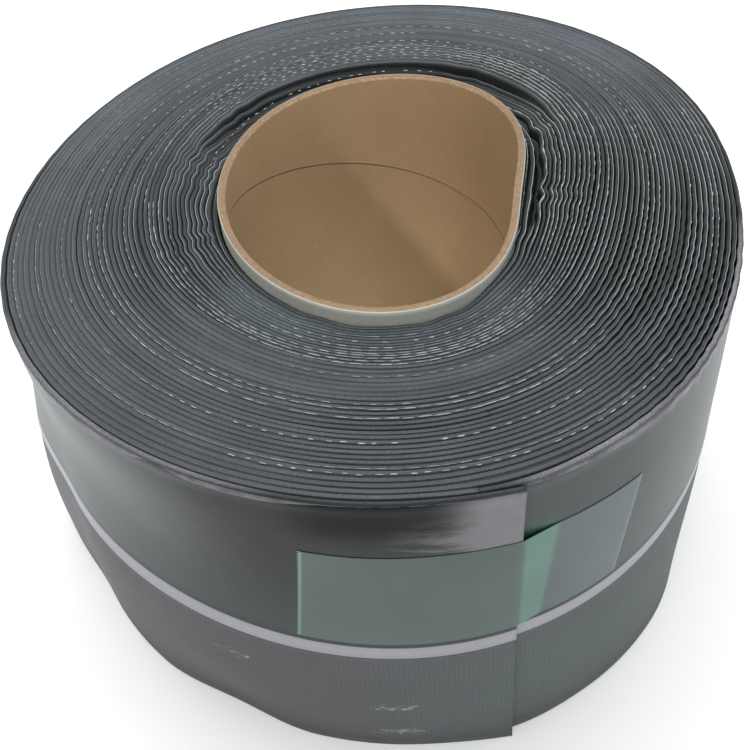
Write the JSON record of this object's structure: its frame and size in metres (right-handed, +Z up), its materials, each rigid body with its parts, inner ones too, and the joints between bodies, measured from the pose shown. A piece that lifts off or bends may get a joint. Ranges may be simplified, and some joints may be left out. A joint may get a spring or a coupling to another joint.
{
  "type": "roll of sealing tape",
  "caption": "Heavy roll of dark sealing tape wound on an oval cardboard core, standing on its end, its free end held by a green adhesive strip.",
  "frame": {"origin": "middle of the bounding box's base, on the floor that the roll stands on", "axes": "+Z up along the roll's axis, -Y towards the front, where the tape's free end is, +X to the right as seen from the front"},
  "size_m": [0.2812, 0.2833, 0.155],
  "materials": {
    "tape": "satin",
    "core_board": "matte",
    "green_film": "gloss"
  },
  "bodies": {
    "root": {"tape_roll": "tape", "core": "core_board", "closing_strip": "green_film"}
  },
  "joints": []
}
